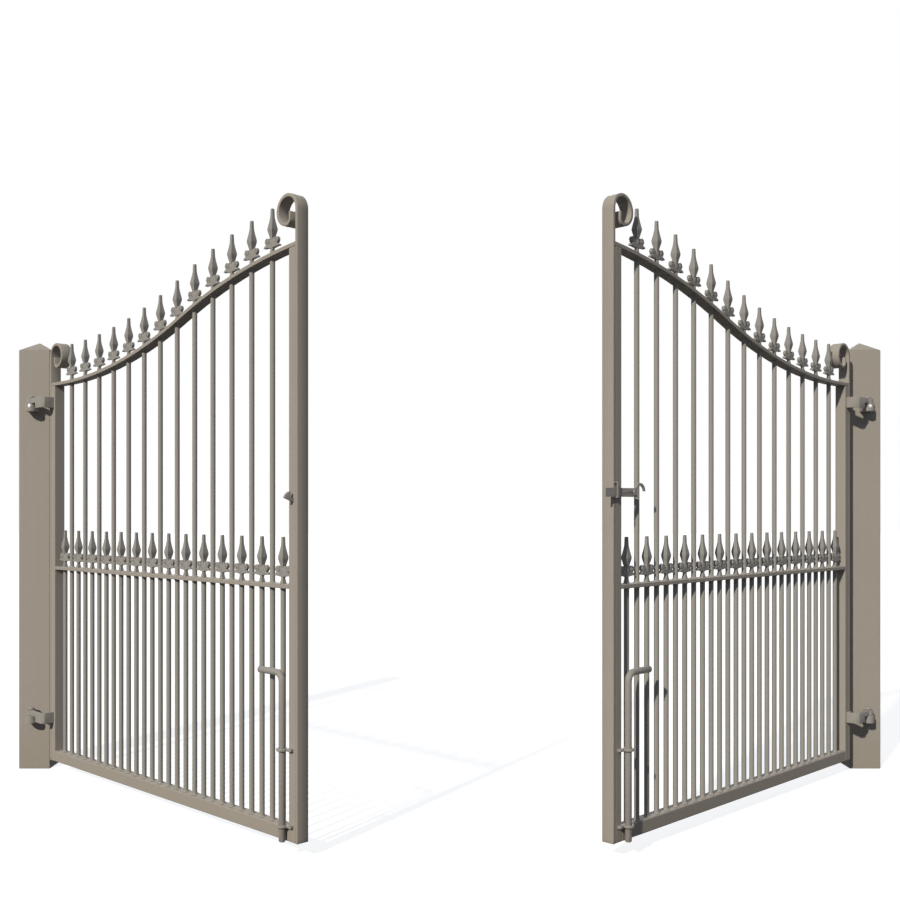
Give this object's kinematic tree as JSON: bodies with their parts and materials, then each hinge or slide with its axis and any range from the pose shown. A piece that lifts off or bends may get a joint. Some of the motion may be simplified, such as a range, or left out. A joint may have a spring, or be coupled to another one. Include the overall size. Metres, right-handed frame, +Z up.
{
  "type": "double driveway gate",
  "caption": "Painted metal double driveway gate: swan-necked leaves of round bars with spear heads and scrolled stiles, hung between square posts, with drop bolts and a fall latch.",
  "frame": {"origin": "middle of the left post's base, at ground level, as seen from the side the leaves open to", "axes": "+X along the gate line to the right post, +Y away from the side the leaves open to, +Z up"},
  "size_m": [3.324, 1.2892, 1.9097],
  "materials": {
    "frame_paint": "satin taupe paint on box section and flat bar",
    "bar_paint": "satin taupe paint on round bar",
    "casting_paint": "satin taupe paint on cast spear heads",
    "hardware_paint": "satin taupe paint on hinges, bolts and latch",
    "post_paint": "satin taupe paint on square posts"
  },
  "bodies": {
    "posts": {"left_post": "post_paint", "left_post_cap": "post_paint", "left_upper_hinge_arm": "hardware_paint", "left_lower_hinge_arm": "hardware_paint", "right_post": "post_paint", "right_post_cap": "post_paint", "right_upper_hinge_arm": "hardware_paint", "right_lower_hinge_arm": "hardware_paint"},
    "left_leaf": {"left_upper_hinge_strap": "hardware_paint", "left_lower_hinge_strap": "hardware_paint", "left_hinge_stile": "frame_paint", "left_meeting_stile": "frame_paint", "left_hinge_scroll": "frame_paint", "left_meeting_scroll": "frame_paint", "left_bottom_rail": "frame_paint", "left_middle_rail": "frame_paint", "left_top_rail": "frame_paint", "left_tall_bars": "bar_paint", "left_dog_bars": "bar_paint", "left_tall_spears": "casting_paint", "left_dog_spears": "casting_paint", "left_drop_bolt_keepers": "hardware_paint", "latch_catch": "hardware_paint"},
    "left_bolt": {"left_drop_bolt": "hardware_paint"},
    "right_leaf": {"right_upper_hinge_strap": "hardware_paint", "right_lower_hinge_strap": "hardware_paint", "right_hinge_stile": "frame_paint", "right_meeting_stile": "frame_paint", "right_hinge_scroll": "frame_paint", "right_meeting_scroll": "frame_paint", "right_bottom_rail": "frame_paint", "right_middle_rail": "frame_paint", "right_top_rail": "frame_paint", "right_tall_bars": "bar_paint", "right_dog_bars": "bar_paint", "right_tall_spears": "casting_paint", "right_dog_spears": "casting_paint", "right_drop_bolt_keepers": "hardware_paint", "latch_lug": "hardware_paint", "latch_guide": "hardware_paint"},
    "right_bolt": {"right_drop_bolt": "hardware_paint"},
    "latch": {"latch_bar": "hardware_paint"}
  },
  "joints": [
    {"name": "left_leaf_swing", "type": "hinge", "parent": "posts", "child": "left_leaf", "pos_m": [0, -0.0895, 0], "axis": [0, 0, -1], "range_deg": [-45, 45]},
    {"name": "right_leaf_swing", "type": "hinge", "parent": "posts", "child": "right_leaf", "pos_m": [3.204, -0.0895, 0], "axis": [0, 0, 1], "range_deg": [-45, 45]},
    {"name": "left_bolt_slide", "type": "slide", "parent": "left_leaf", "child": "left_bolt", "axis": [0, 0, 1], "range_m": [-0.1, 0]},
    {"name": "right_bolt_slide", "type": "slide", "parent": "right_leaf", "child": "right_bolt", "axis": [0, 0, 1], "range_m": [-0.1, 0]},
    {"name": "latch_lift", "type": "hinge", "parent": "right_leaf", "child": "latch", "pos_m": [2.10222, -1.11102, 1.0497], "axis": [-0.7071, 0.7071, 0], "range_deg": [0, 8]}
  ]
}
